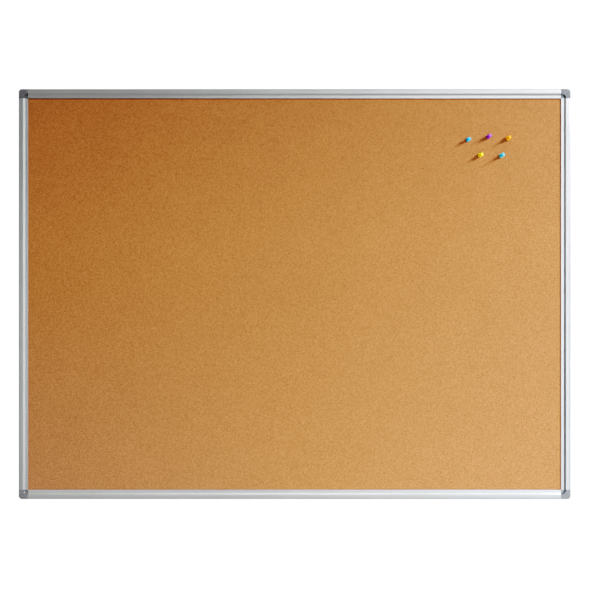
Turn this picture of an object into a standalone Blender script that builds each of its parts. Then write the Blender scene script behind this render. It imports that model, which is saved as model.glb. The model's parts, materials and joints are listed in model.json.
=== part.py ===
"""Cork bulletin board in an aluminium frame, with moulded corners and five push pins.

Frame of the part: +X to the right, +Z up, -Y out of the wall towards the reader.
The origin is the middle of the bottom rail's back face, on the wall plane y = 0.
Sizes are in millimetres, angles in degrees. Depths run back from the rails' front face.
"""

import math

import bmesh
import bpy
from mathutils import Matrix, Vector

MM = 0.001

# ---------------------------------------------------------------- whole board
BOARD_WIDTH = 1200.0
BOARD_HEIGHT = 892.0
FRAME_DEPTH = 18.0
FRAME_FACE = 20.0          # visible width of the frame all round
JOINT_GAP = 0.15           # half the gap between a rail and a corner
FACET_TURN = 4.0           # turn of a rod's facets about its axis
OVERSHOOT = 1.0            # how far most corner cutters run past the face they open

# ---------------------------------------------------------------- rail section
# widths run inwards from the outer edge
WALL = 1.2                 # extrusion wall
EDGE_ROUND = 1.2           # outer front edge
EDGE_STEPS = 4
BAND_END = 9.6             # inner end of the raised band
STEP_END = 14.0            # foot of the sloping step
STEP_BACK_END = STEP_END - 0.7   # foot of the step's underside
LIP_FRONT = 2.4            # depth of the lip's face
LIP_BACK = 3.6             # depth of the lip's underside
LIP_CHAMFER = (0.5, 0.4)   # width and depth
WEB = (9.0, 9.0 + WALL)    # inner wall of the rail's hollow
BACK_FLANGE = 16.0         # how far the rear flange reaches inwards
BACK_WALL = 16.7           # depth of the rear flange's inner face
RAIL_START = FRAME_FACE + JOINT_GAP
ORIGIN_UP = BACK_FLANGE / 2      # the origin's height over the bottom edge

# ---------------------------------------------------------------- panel, front and back depths
PANEL_EDGE = 10.5          # panel edge, measured from the frame's outer edge
CORK_DEPTHS = (3.85, 6.85)
CORE_DEPTHS = (7.1, 15.6)
BACKING_DEPTHS = (15.85, 16.45)

# ---------------------------------------------------------------- corners
CORNER_ROUND = 7.0
CORNER_SEGMENTS = 7
CORNER_SPAN = (0.0, FRAME_FACE - JOINT_GAP)
NOTCH_SPAN = (WEB[1], 30.0)      # room for the panel's corner
CAP_FRONT = -0.3           # the cap stands this much proud of the rails
CAP_BACK = 6.9
CAP_NOTCH_FRONT = LIP_BACK - 0.05
CAP_SKIN = 1.5             # side walls
CAP_FACE = 1.7             # front wall
QUADRANT_FLOOR = 2.2       # lower inner part of the cap
QUADRANT_R = (10.4, 6.0)   # its conical step: radius at the front and at the floor
BASE_FRONT = 7.2
PRONG = (5.4, 15.0)        # place of a snap prong; the other is mirrored
PRONG_PLACES = (PRONG, PRONG[::-1])
PRONG_R, PRONG_TAPER = 1.5, 0.15
PRONG_DEPTHS = (0.6, 11.4)
PRONG_SEGMENTS = 14
HOLE_START = 5.0           # depth where the base's hole cutters begin, ahead of its front
SOCKET_R, SOCKET_END = 1.85, 12.2
WALL_HOLE = (5.8, 5.8)     # place of the concealed wall-screw hole
WALL_HOLE_R, WALL_BORE_R, WALL_BORE_END = 2.1, 4.0, 12.0
LEG_SPAN = (12.0, 55.0)    # along the rail, from inside the block to the leg's end
LEG_WIDTHS = (1.6, 8.6)
LEG_DEPTHS = (7.6, 16.4)
LEG_MID = sum(LEG_WIDTHS) / 2

# ---------------------------------------------------------------- screws
SCREW_AT = 35.0            # from the outer corner, along each rail
SCREW_HEAD_R, SCREW_SHANK_R = 2.7, 1.45
SCREW_HEAD, SCREW_LENGTH = 1.3, 8.0
SCREW_RECESS = 0.1         # head below the rail's back face
SCREW_RIM = 0.15           # straight edge of the head
SCREW_POINT = 1.8          # length of the conical point
SCREW_STEPS = 16
PILOT_R, PILOT_EXTRA = 1.8, 0.7  # the pilot runs this far beyond the point
SINK_R = (3.1, 1.8)        # 45 degree countersink: radius at the back face and at its floor
SINK_OVERSHOOT = 0.5
CLEAR_R = SINK_R[1] - 0.02
CLEAR_SPAN = (3.0, 0.8)    # straight hole, ahead of the back face

# ---------------------------------------------------------------- push pins
# (radius, height over the flange's underside), from the top down the outside
PIN_HEAD = (
    (0.0, 12.0), (2.2, 11.9), (3.4, 11.5), (3.95, 10.8), (3.95, 10.1),
    (3.4, 9.5), (2.6, 8.8), (2.3, 7.4), (2.3, 5.2), (2.6, 3.6),
    (3.4, 2.6), (4.2, 1.9), (4.5, 1.2), (4.4, 0.5), (3.8, 0.0),
)
FLANGE_GAP = 0.3           # between the flange's low side and the cork
NEEDLE_R, NEEDLE_TIP = 0.6, 2.4
NEEDLE_BELOW, NEEDLE_ABOVE = 10.5, 5.6   # reach from the flange's underside
NEEDLE_FIT = 0.3           # gap round and above the needle in the head
NEEDLE_HOLE_R = 0.95
NEEDLE_HOLE_ABOVE = 3.0    # the hole's cutter starts this far out of the cork
NEEDLE_HOLE_EXTRA = 0.5    # the hole runs this far beyond the tip
# name, entry point x and z from the board's centre, lean from square,
# direction of the lean (0 is +X, 90 is +Z), colour
PINS = (
    ("blue", 376.8, 336.0, 9.0, 15.0, (0.02, 0.50, 0.83)),
    ("purple", 420.6, 341.6, 21.0, 34.0, (0.30, 0.03, 0.58)),
    ("orange", 462.5, 338.2, 22.0, 27.0, (0.95, 0.40, 0.01)),
    ("yellow", 401.8, 301.6, 23.0, 18.0, (0.87, 0.72, 0.02)),
    ("cyan", 448.0, 300.4, 24.0, 28.0, (0.03, 0.57, 0.75)),
)

# ---------------------------------------------------------------- sides: signs of x and z
RAILS = {"top": (0, 1), "bottom": (0, -1), "left": (-1, 0), "right": (1, 0)}
CORNERS = {
    "top_left": (-1, 1),
    "top_right": (1, 1),
    "bottom_left": (-1, -1),
    "bottom_right": (1, -1),
}

for old in list(bpy.data.objects):
    bpy.data.objects.remove(old, do_unlink=True)

parts = bpy.data.collections.new("cork_bulletin_board")
cutters = bpy.data.collections.new("cutters")
bpy.context.scene.collection.children.link(parts)
bpy.context.scene.collection.children.link(cutters)


# ---------------------------------------------------------------- materials
def finish(name, colour, roughness, metallic=0.0):
    made = bpy.data.materials.new(name)
    made.use_nodes = True
    made.diffuse_color = (*colour, 1)
    shader = made.node_tree.nodes["Principled BSDF"]
    shader.inputs["Base Color"].default_value = (*colour, 1)
    shader.inputs["Roughness"].default_value = roughness
    shader.inputs["Metallic"].default_value = metallic
    return made


ALUMINIUM = finish("satin_aluminium", colour=(0.66, 0.67, 0.67), roughness=0.38, metallic=1.0)
CAP_PLASTIC = finish("grey_corner_plastic", colour=(0.17, 0.17, 0.19), roughness=0.6)
BASE_PLASTIC = finish("grey_connector_plastic", colour=(0.13, 0.13, 0.15), roughness=0.65)
CORK = finish("cork", colour=(0.50, 0.25, 0.07), roughness=0.9)
SOFTBOARD = finish("softboard", colour=(0.33, 0.24, 0.15), roughness=0.95)
BACKING = finish("backing_paper", colour=(0.55, 0.50, 0.42), roughness=0.85)
SCREW_STEEL = finish("zinc_plated_steel", colour=(0.62, 0.62, 0.60), roughness=0.35, metallic=1.0)
NEEDLE_STEEL = finish("needle_steel", colour=(0.70, 0.70, 0.72), roughness=0.2, metallic=1.0)


# ---------------------------------------------------------------- places
def centre(x, z, depth):
    """World point given from the board's centre."""
    up = BOARD_HEIGHT / 2 - ORIGIN_UP + z
    return Vector((x * MM, (depth - FRAME_DEPTH) * MM, up * MM))


def place(side, in_x, in_z, depth):
    """World point given inwards from the outer edges on one side or corner.

    A sign of 0 in side gives the board's middle in that direction.
    """
    x = side[0] * (BOARD_WIDTH / 2 - in_x)
    z = side[1] * (BOARD_HEIGHT / 2 - in_z)
    return centre(x, z, depth)


# ---------------------------------------------------------------- shapes
def new_object(name, mesh, material, collection=parts):
    made = bpy.data.objects.new(name, mesh)
    if material:
        mesh.materials.clear()
        mesh.materials.append(material)
    collection.objects.link(made)
    if collection is cutters:
        made.hide_render = True
        made.display_type = "WIRE"
    return made


def mesh_of(name, shape):
    bmesh.ops.recalc_face_normals(shape, faces=shape.faces)
    mesh = bpy.data.meshes.new(name)
    shape.to_mesh(mesh)
    shape.free()
    return mesh


def box_mesh(name, start, end, rounded=0.0):
    """A box between two world points; its edge along Y at the start can be rounded."""
    low = Vector(map(min, start, end))
    high = Vector(map(max, start, end))
    size = high - low
    shape = bmesh.new()
    bmesh.ops.create_cube(shape, size=1.0)
    bmesh.ops.scale(shape, vec=size, verts=shape.verts)
    bmesh.ops.translate(shape, vec=(high + low) / 2, verts=shape.verts)
    if rounded:
        def distance(edge):
            at = edge.verts[0].co
            return (at.x - start.x) ** 2 + (at.z - start.z) ** 2

        along = [e for e in shape.edges if abs(e.verts[0].co.y - e.verts[1].co.y) > size.y / 2]
        bmesh.ops.bevel(
            shape, geom=[min(along, key=distance)], offset=rounded * MM,
            segments=CORNER_SEGMENTS, profile=0.5, affect="EDGES",
        )
    return mesh_of(name, shape)


def corner_box(name, side, span_x, span_z, depths, rounded=0.0):
    """A box in a corner's own measures, with its outermost edge rounded if asked."""
    start, end = (place(side, *point) for point in zip(span_x, span_z, depths))
    return box_mesh(name, start, end, rounded)


def rod_mesh(name, start, end, radius, segments, end_radius=None):
    """A cylinder or a cone between two world points."""
    axis = end - start
    shape = bmesh.new()
    bmesh.ops.create_cone(
        shape, cap_ends=True, segments=segments, depth=axis.length,
        radius1=radius * MM, radius2=(radius if end_radius is None else end_radius) * MM,
    )
    facets = Matrix.Rotation(math.radians(FACET_TURN), 3, "Z")
    bmesh.ops.rotate(shape, matrix=facets, verts=shape.verts)
    turn = Vector((0, 0, 1)).rotation_difference(axis).to_matrix().to_4x4()
    shift = Matrix.Translation((start + end) / 2)
    bmesh.ops.transform(shape, matrix=shift @ turn, verts=shape.verts)
    return mesh_of(name, shape)


def corner_rod(name, side, spot, depths, radius, segments, end_radius=None):
    """A rod square to the wall, in a corner's own measures."""
    start, end = (place(side, *spot, depth) for depth in depths)
    return rod_mesh(name, start, end, radius, segments, end_radius)


def combine(target, mesh, operation="DIFFERENCE", solver="EXACT"):
    """Cut a mesh out of an object, or join it on, with a Boolean modifier."""
    tool = new_object(mesh.name, mesh, None, cutters)
    step = target.modifiers.new(f"{operation.lower()}_{len(target.modifiers)}", "BOOLEAN")
    step.operation = operation
    step.solver = solver
    step.object = tool
    return tool


def combine_base(base, mesh, operation="DIFFERENCE"):
    """Combine on a corner base: the exact solver leaves the screw holes in its legs open."""
    combine(base, mesh, operation, solver="MANIFOLD")


def lathe(name, profile, steps, material):
    """A turned piece from (radius, z), from the top on the axis round to the bottom on it."""
    mesh = bpy.data.meshes.new(name)
    points = [(radius * MM, 0.0, z * MM) for radius, z in profile]
    mesh.from_pydata(points, [(i, i + 1) for i in range(len(points) - 1)], [])
    made = new_object(name, mesh, material)
    screw = made.modifiers.new("turn", "SCREW")
    screw.axis = "Z"
    screw.angle = math.tau
    screw.steps = screw.render_steps = steps
    screw.use_merge_vertices = True
    screw.merge_threshold = 0.00001
    screw.use_smooth_shade = True
    return made


# ---------------------------------------------------------------- frame rails
def rail_section():
    """The extrusion's outline and its hollow, as two closed loops of (width, depth)."""
    outer = []
    for i in range(EDGE_STEPS + 1):
        angle = math.pi / 2 * i / EDGE_STEPS
        outer.append((
            EDGE_ROUND - EDGE_ROUND * math.cos(angle),
            EDGE_ROUND - EDGE_ROUND * math.sin(angle),
        ))
    # the step's underside runs parallel to its face
    step_rise = (STEP_BACK_END - WEB[1]) * LIP_FRONT / (STEP_END - BAND_END)
    outer += [
        (BAND_END, 0.0),
        (STEP_END, LIP_FRONT),
        (FRAME_FACE - LIP_CHAMFER[0], LIP_FRONT),
        (FRAME_FACE, LIP_FRONT + LIP_CHAMFER[1]),
        (FRAME_FACE, LIP_BACK),
        (STEP_BACK_END, LIP_BACK),
        (WEB[1], LIP_BACK - step_rise),
        (WEB[1], BACK_WALL),
        (BACK_FLANGE, BACK_WALL),
        (BACK_FLANGE, FRAME_DEPTH),
        (0.0, FRAME_DEPTH),
    ]
    hollow_back = FRAME_DEPTH - WALL
    hollow = [(WALL, WALL), (WALL, hollow_back), (WEB[0], hollow_back), (WEB[0], WALL)]
    return outer, hollow


def frame_rail(name, side):
    """One rail, extruded along its own Z: its X runs inwards, its Y runs back to the wall."""
    full = BOARD_WIDTH if side[0] == 0 else BOARD_HEIGHT
    curve = bpy.data.curves.new(name, "CURVE")
    curve.dimensions = "2D"
    curve.fill_mode = "BOTH"
    curve.extrude = (full - 2 * RAIL_START) / 2 * MM
    for loop in rail_section():
        spline = curve.splines.new("POLY")
        spline.points.add(len(loop) - 1)
        for point, (width, depth) in zip(spline.points, loop):
            point.co = (width * MM, depth * MM, 0, 1)
        spline.use_cyclic_u = True
    drawn = bpy.data.objects.new(name + "_section", curve)
    parts.objects.link(drawn)
    inward = Vector((-side[0], 0, -side[1]))
    back = Vector((0, 1, 0))
    turn = Matrix((inward, back, inward.cross(back))).transposed()
    drawn.matrix_world = Matrix.Translation(place(side, 0, 0, 0)) @ turn.to_4x4()
    bpy.context.view_layer.update()

    seen = drawn.evaluated_get(bpy.context.evaluated_depsgraph_get())
    mesh = bpy.data.meshes.new_from_object(seen)
    mesh.name = name
    mesh.shade_flat()
    shape = bmesh.new()
    shape.from_mesh(mesh)
    bmesh.ops.remove_doubles(shape, verts=shape.verts, dist=0.00001)
    bmesh.ops.recalc_face_normals(shape, faces=shape.faces)
    shape.to_mesh(mesh)
    shape.free()
    made = new_object(name, mesh, ALUMINIUM)
    made.matrix_world = drawn.matrix_world.copy()
    bpy.data.objects.remove(drawn, do_unlink=True)
    return made


# ---------------------------------------------------------------- panel layers
def layer(name, depths, material):
    half_width = BOARD_WIDTH / 2 - PANEL_EDGE
    half_height = BOARD_HEIGHT / 2 - PANEL_EDGE
    start = centre(-half_width, -half_height, depths[0])
    end = centre(half_width, half_height, depths[1])
    return new_object(name, box_mesh(name, start, end), material)


# ---------------------------------------------------------------- corners
def corner_base(name, side):
    """Connector behind the cap: an L-shaped block, a rear flange over the panel and two legs."""
    block = corner_box(
        name, side, CORNER_SPAN, CORNER_SPAN, (BASE_FRONT, FRAME_DEPTH), CORNER_ROUND
    )
    base = new_object(name, block, BASE_PLASTIC)
    notch_depths = (BASE_FRONT - OVERSHOOT, BACK_WALL)
    combine_base(base, corner_box(name + "_panel_notch", side, NOTCH_SPAN, NOTCH_SPAN, notch_depths))
    for way, span_x, span_z in (
        ("across", LEG_SPAN, LEG_WIDTHS),
        ("upright", LEG_WIDTHS, LEG_SPAN),
    ):
        combine_base(base, corner_box(f"{name}_leg_{way}", side, span_x, span_z, LEG_DEPTHS), "UNION")
    for suffix, spot, end, radius, segments in (
        ("wall_hole", WALL_HOLE, FRAME_DEPTH + 2 * OVERSHOOT, WALL_HOLE_R, 20),
        ("wall_bore", WALL_HOLE, WALL_BORE_END, WALL_BORE_R, 24),
        *(
            (f"socket_{spot[0]:.0f}", spot, SOCKET_END, SOCKET_R, PRONG_SEGMENTS)
            for spot in PRONG_PLACES
        ),
    ):
        depths = (HOLE_START, end)
        combine_base(base, corner_rod(f"{name}_{suffix}", side, spot, depths, radius, segments))
    return base


def corner_cap(name, side):
    """The visible cover, which snaps on from the front."""
    block = corner_box(name, side, CORNER_SPAN, CORNER_SPAN, (CAP_FRONT, CAP_BACK), CORNER_ROUND)
    cap = new_object(name, block, CAP_PLASTIC)
    notch_depths = (CAP_NOTCH_FRONT, CAP_BACK + 2 * OVERSHOOT)
    combine(cap, corner_box(name + "_panel_notch", side, NOTCH_SPAN, NOTCH_SPAN, notch_depths))

    # an L-shaped hollow, open at the back
    inside = (CAP_SKIN, CORNER_SPAN[1] - CAP_SKIN)
    slot = (CAP_SKIN, WEB[1] - CAP_SKIN)
    depths = (CAP_FRONT + CAP_FACE, CAP_BACK + OVERSHOOT)
    for way, span_x, span_z in (("across", inside, slot), ("upright", slot, inside)):
        hollow = corner_box(
            f"{name}_hollow_{way}", side, span_x, span_z, depths, CORNER_ROUND - CAP_SKIN
        )
        combine(cap, hollow)

    slope = (QUADRANT_R[0] - QUADRANT_R[1]) / (QUADRANT_FLOOR - CAP_FRONT)
    quadrant = corner_rod(
        name + "_quadrant", side, (FRAME_FACE, FRAME_FACE),
        (CAP_FRONT - OVERSHOOT, QUADRANT_FLOOR),
        QUADRANT_R[0] + slope * OVERSHOOT, 40, end_radius=QUADRANT_R[1],
    )
    combine(cap, quadrant)
    for spot in PRONG_PLACES:
        prong = corner_rod(
            f"{name}_prong_{spot[0]:.0f}", side, spot, PRONG_DEPTHS,
            PRONG_R, PRONG_SEGMENTS, end_radius=PRONG_R - PRONG_TAPER,
        )
        combine(cap, prong, "UNION")


def corner_screw(name, side, spot, host, base):
    """A countersunk screw through a rail's back wall into a leg, with its holes."""
    pilot_depths = (FRAME_DEPTH - SCREW_LENGTH - PILOT_EXTRA, FRAME_DEPTH)
    combine_base(base, corner_rod(name + "_pilot", side, spot, pilot_depths, PILOT_R, 12))
    sink_depth = SINK_R[0] - SINK_R[1]
    sink = corner_rod(
        name + "_sink", side, spot,
        (FRAME_DEPTH - sink_depth, FRAME_DEPTH + SINK_OVERSHOOT),
        SINK_R[1], 20, end_radius=SINK_R[0] + SINK_OVERSHOOT,
    )
    combine(host, sink)
    clear_depths = [FRAME_DEPTH - ahead for ahead in CLEAR_SPAN]
    combine(host, corner_rod(name + "_clear", side, spot, clear_depths, CLEAR_R, 20))

    top = -SCREW_RECESS
    profile = (
        (0, top),
        (SCREW_HEAD_R, top),
        (SCREW_HEAD_R, top - SCREW_RIM),
        (SCREW_SHANK_R, top - SCREW_HEAD - SCREW_RIM),
        (SCREW_SHANK_R, SCREW_POINT - SCREW_LENGTH),
        (0, -SCREW_LENGTH),
    )
    screw = lathe(name, profile, SCREW_STEPS, SCREW_STEEL)
    # the turned profile's top faces the wall
    screw.location = place(side, *spot, FRAME_DEPTH)
    screw.rotation_euler = (-math.pi / 2, 0, 0)


# ---------------------------------------------------------------- push pins
def push_pin(name, x, z, lean, way, colour):
    """A leaning head and needle on an empty at the entry point, and the needle's hole."""
    lean, way = math.radians(lean), math.radians(way)
    out = Vector((
        math.sin(lean) * math.cos(way),
        -math.cos(lean),
        math.sin(lean) * math.sin(way),
    ))
    entry = centre(x, z, CORK_DEPTHS[0])
    axis = bpy.data.objects.new(f"pin_{name}_axis", None)
    parts.objects.link(axis)
    axis.location = entry
    axis.rotation_mode = "QUATERNION"
    axis.rotation_quaternion = Vector((0, 0, 1)).rotation_difference(out)

    plastic = finish(f"pin_plastic_{name}", colour=colour, roughness=0.18)
    bore_r, bore_top = NEEDLE_R + NEEDLE_FIT, NEEDLE_ABOVE + NEEDLE_FIT
    head_profile = (*PIN_HEAD, (bore_r, 0.0), (bore_r, bore_top), (0.0, bore_top))
    needle_profile = (
        (0, NEEDLE_ABOVE),
        (NEEDLE_R, NEEDLE_ABOVE),
        (NEEDLE_R, NEEDLE_TIP - NEEDLE_BELOW),
        (0, -NEEDLE_BELOW),
    )
    # the head is pushed in until the low side of its flange nearly meets the cork
    lift = max(
        (FLANGE_GAP + radius * math.sin(lean)) / math.cos(lean) - height
        for radius, height in PIN_HEAD
    )
    for piece in (
        lathe(f"pin_{name}_head", head_profile, 18, plastic),
        lathe(f"pin_{name}_needle", needle_profile, 10, NEEDLE_STEEL),
    ):
        piece.parent = axis
        piece.location = (0, 0, lift * MM)

    start = entry + out * NEEDLE_HOLE_ABOVE * MM
    end = entry - out * (NEEDLE_BELOW - lift + NEEDLE_HOLE_EXTRA) * MM
    tool = combine(cork, rod_mesh(f"pin_{name}_hole", start, end, NEEDLE_HOLE_R, 8))
    step = core.modifiers.new("hole_" + name, "BOOLEAN")
    step.operation = "DIFFERENCE"
    step.object = tool


# ---------------------------------------------------------------- assembly
rails = {name: frame_rail("frame_rail_" + name, side) for name, side in RAILS.items()}

cork = layer("cork_sheet", CORK_DEPTHS, CORK)
core = layer("core_board", CORE_DEPTHS, SOFTBOARD)
layer("backing_sheet", BACKING_DEPTHS, BACKING)

for corner, side in CORNERS.items():
    base = corner_base("corner_base_" + corner, side)
    corner_cap("corner_cap_" + corner, side)
    level, flank = corner.split("_")
    for way, spot, host in (
        ("across", (SCREW_AT, LEG_MID), rails[level]),
        ("upright", (LEG_MID, SCREW_AT), rails[flank]),
    ):
        corner_screw(f"corner_screw_{corner}_{way}", side, spot, host, base)

for pin in PINS:
    push_pin(*pin)

bpy.context.view_layer.update()
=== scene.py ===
"""Looks for the cork bulletin board: finer meshes and procedural materials around its frame.

The board stands upright in the XZ plane: X runs right, Z up and Y back, so its face looks along -Y.
Shapes are measured in mm (times MM); light, camera and texture measures are in metres.
"""

import json
import math
from functools import partial

import bmesh
import bpy
import numpy as np
from mathutils import Matrix, Vector, noise

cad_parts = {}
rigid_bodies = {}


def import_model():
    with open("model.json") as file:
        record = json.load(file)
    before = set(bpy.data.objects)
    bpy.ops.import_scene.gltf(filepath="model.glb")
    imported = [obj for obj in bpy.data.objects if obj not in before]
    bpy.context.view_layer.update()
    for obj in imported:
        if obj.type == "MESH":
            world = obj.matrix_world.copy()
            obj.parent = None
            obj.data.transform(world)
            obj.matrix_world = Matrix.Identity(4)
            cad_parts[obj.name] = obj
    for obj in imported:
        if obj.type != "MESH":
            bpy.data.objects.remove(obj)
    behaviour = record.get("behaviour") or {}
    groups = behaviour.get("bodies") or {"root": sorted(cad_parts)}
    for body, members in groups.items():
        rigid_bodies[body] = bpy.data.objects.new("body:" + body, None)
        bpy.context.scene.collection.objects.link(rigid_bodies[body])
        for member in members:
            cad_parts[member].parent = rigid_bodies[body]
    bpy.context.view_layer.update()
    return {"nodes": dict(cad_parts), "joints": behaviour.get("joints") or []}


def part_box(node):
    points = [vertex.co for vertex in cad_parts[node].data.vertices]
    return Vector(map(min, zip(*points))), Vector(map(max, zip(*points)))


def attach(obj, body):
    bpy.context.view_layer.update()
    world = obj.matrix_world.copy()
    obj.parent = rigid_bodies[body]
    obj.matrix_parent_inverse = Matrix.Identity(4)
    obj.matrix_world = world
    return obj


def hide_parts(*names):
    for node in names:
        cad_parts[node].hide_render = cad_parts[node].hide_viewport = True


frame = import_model()
MM = 0.001

# ------------------------------------------------------------------ driving dimensions
X0, X1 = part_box("frame_rail_left")[0].x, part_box("frame_rail_right")[1].x
Z0, Z1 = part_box("frame_rail_bottom")[0].z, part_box("frame_rail_top")[1].z
Y_FRONT, Y_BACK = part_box("frame_rail_top")[0].y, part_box("frame_rail_top")[1].y
DEPTH = (Y_BACK - Y_FRONT) / MM
MID = Vector(((X0 + X1) / 2, 0, (Z0 + Z1) / 2))
FACE = 20.0  # width of the frame seen from the front
CORNER_SIZE = (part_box("corner_cap_top_left")[1].x - X0) / MM
LEG_WIDE = (1.6, 8.6)  # a connector leg, measured in from the frame's outer edge
LEG_MID = sum(LEG_WIDE) / 2
SCREW_AT = 35.0  # a screw's distance along its rail from the outer corner

# name, side in X, side in Z
CORNERS = (
    ("top_left", -1, 1), ("top_right", 1, 1), ("bottom_left", -1, -1), ("bottom_right", 1, -1),
)
BACK = Vector((0, 1, 0))
BACK_MM = Vector((0, MM, 0))

scene = bpy.context.scene
shapes = bpy.data.collections.new("fine_shapes")
scene.collection.children.link(shapes)


def place(side_x, side_z, u, v, t):
    """World point from a corner's mm: u and v run in from its two outer edges, t back from the front."""
    x = (X1 if side_x > 0 else X0) - side_x * u * MM
    z = (Z1 if side_z > 0 else Z0) - side_z * v * MM
    return Vector((x, Y_FRONT + t * MM, z))


def facing_back(point):
    """Matrix that puts the origin at a point and turns +Z to the back."""
    return Matrix.Translation(point) @ Matrix.Rotation(math.radians(-90), 4, "X")


# ------------------------------------------------------------------ mesh helpers
def finish_mesh(name, bm, sharp_angle=35):
    """Turn a bmesh into a mesh, smooth up to an angle in degrees, or flat for None."""
    bmesh.ops.recalc_face_normals(bm, faces=bm.faces)
    mesh = bpy.data.meshes.new(name)
    bm.to_mesh(mesh)
    bm.free()
    if sharp_angle:
        mesh.shade_smooth()
        mesh.set_sharp_from_angle(angle=math.radians(sharp_angle))
    return mesh


def new_object(name, mesh):
    made = bpy.data.objects.new(name, mesh)
    shapes.objects.link(made)
    return made


def evaluated_mesh(obj):
    bpy.context.view_layer.update()
    depsgraph = bpy.context.evaluated_depsgraph_get()
    return bpy.data.meshes.new_from_object(obj.evaluated_get(depsgraph))


def settle(obj, sharp_angle):
    """Apply every boolean, drop its tools, weld the result and shade it."""
    tools = {step.object for step in obj.modifiers}
    mesh = evaluated_mesh(obj)
    mesh.name = obj.name
    obj.modifiers.clear()
    obj.data = mesh
    for tool in tools:
        bpy.data.objects.remove(tool, do_unlink=True)
    bm = bmesh.new()
    bm.from_mesh(mesh)
    bmesh.ops.remove_doubles(bm, verts=bm.verts, dist=1e-6)
    bmesh.ops.dissolve_degenerate(bm, edges=bm.edges, dist=1e-6)
    bm.to_mesh(mesh)
    bm.free()
    mesh.materials.clear()
    mesh.shade_smooth()
    mesh.set_sharp_from_angle(angle=math.radians(sharp_angle))


def combine(target, mesh, operation="DIFFERENCE"):
    step = target.modifiers.new(operation.lower(), "BOOLEAN")
    step.operation = operation
    step.object = new_object("tool_" + mesh.name, mesh)
    step.solver = "MANIFOLD"


def prism(name, loop, t0, t1, to_world, front_bevel=0.0, back_bevel=0.0):
    """A closed loop of (u, v) swept from depth t0 to t1, with rounded rims."""
    bm = bmesh.new()
    front = [bm.verts.new(to_world(u, v, t0)) for u, v in loop]
    back = [bm.verts.new(to_world(u, v, t1)) for u, v in loop]
    front_face = bm.faces.new(front)
    back_face = bm.faces.new(back[::-1])
    for i in range(len(loop)):
        j = (i + 1) % len(loop)
        bm.faces.new((front[j], front[i], back[i], back[j]))
    bmesh.ops.recalc_face_normals(bm, faces=bm.faces)
    for face, width in ((front_face, front_bevel), (back_face, back_bevel)):
        if width:
            bmesh.ops.bevel(
                bm, geom=list(face.edges), offset=width * MM, segments=4, profile=0.5,
                affect="EDGES",
            )
    return finish_mesh(name, bm)


def rounded_loop(points, segments):
    """A 2D loop from (x, y, radius) corners, each rounded with an arc."""
    out = []
    for i, (x, y, wanted) in enumerate(points):
        if wanted <= 0:
            out.append((x, y))
            continue
        corner = np.array((x, y))
        before = np.array(points[i - 1][:2]) - corner
        after = np.array(points[(i + 1) % len(points)][:2]) - corner
        before_length, after_length = np.linalg.norm(before), np.linalg.norm(after)
        before, after = before / before_length, after / after_length
        half = math.acos(max(-1.0, min(1.0, float(before @ after)))) / 2
        trim = min(wanted / math.tan(half), 0.49 * before_length, 0.49 * after_length)
        radius = trim * math.tan(half)
        middle = (before + after) / np.linalg.norm(before + after)
        centre = corner + middle * radius / math.sin(half)
        start = corner + before * trim - centre
        end = corner + after * trim - centre
        first = math.atan2(start[1], start[0])
        turn = math.atan2(end[1], end[0]) - first
        turn = (turn + math.pi) % (2 * math.pi) - math.pi
        for k in range(segments + 1):
            angle = first + turn * k / segments
            out.append((centre[0] + radius * math.cos(angle), centre[1] + radius * math.sin(angle)))
    return out


ROD_TWIST = 2.6  # degrees, keeps a rod's facets off the planes it cuts


def rod_mesh(name, start, end, r0, r1, segments=48):
    """A rod or cone between two world points, with its radii in mm."""
    axis = end - start
    bm = bmesh.new()
    bmesh.ops.create_cone(
        bm, cap_ends=True, segments=segments, radius1=r0 * MM, radius2=r1 * MM, depth=axis.length
    )
    twist = Matrix.Rotation(math.radians(ROD_TWIST), 3, "Z")
    bmesh.ops.rotate(bm, matrix=twist, verts=bm.verts)
    turn = Vector((0, 0, 1)).rotation_difference(axis).to_matrix().to_4x4()
    bmesh.ops.transform(bm, matrix=Matrix.Translation((start + end) / 2) @ turn, verts=bm.verts)
    return finish_mesh(name, bm, None)


def ring_mesh(name, rings, matrix=None):
    """Skin rings of (r, z) mm points round Z; a ring of no radius becomes one point."""
    segments = len(rings[0])
    bm = bmesh.new()
    rows = []
    for ring in rings:
        if max(r for r, _ in ring) < 1e-6:
            rows.append([bm.verts.new((0, 0, ring[0][1] * MM))])
            continue
        row = []
        for k, (r, z) in enumerate(ring):
            angle = math.tau * k / segments
            row.append(bm.verts.new((r * MM * math.cos(angle), r * MM * math.sin(angle), z * MM)))
        rows.append(row)
    for a, b in zip(rows, rows[1:]):
        for k in range(segments):
            j = (k + 1) % segments
            if len(a) == 1:
                bm.faces.new((a[0], b[k], b[j]))
            elif len(b) == 1:
                bm.faces.new((a[k], b[0], a[j]))
            else:
                bm.faces.new((a[k], b[k], b[j], a[j]))
    if matrix is not None:
        bmesh.ops.transform(bm, matrix=matrix, verts=bm.verts)
    return finish_mesh(name, bm)


def turned_mesh(name, profile, segments, matrix):
    """Spin (r, z) mm points round Z."""
    return ring_mesh(name, [[point] * segments for point in profile], matrix)


def smooth_profile(points, steps):
    """Catmull-Rom curve through (r, z) points."""
    pts = [np.array(p, float) for p in points]
    pts = [2 * pts[0] - pts[1]] + pts + [2 * pts[-1] - pts[-2]]
    out = []
    for a, b, c, d in zip(pts, pts[1:], pts[2:], pts[3:]):
        for k in range(steps):
            s = k / steps
            q = 0.5 * (
                2 * b + (c - a) * s + (2 * a - 5 * b + 4 * c - d) * s**2
                + (3 * b - a - 3 * c + d) * s**3
            )
            out.append((max(0.0, float(q[0])), float(q[1])))
    out.append(tuple(pts[-2]))
    return out


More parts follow.
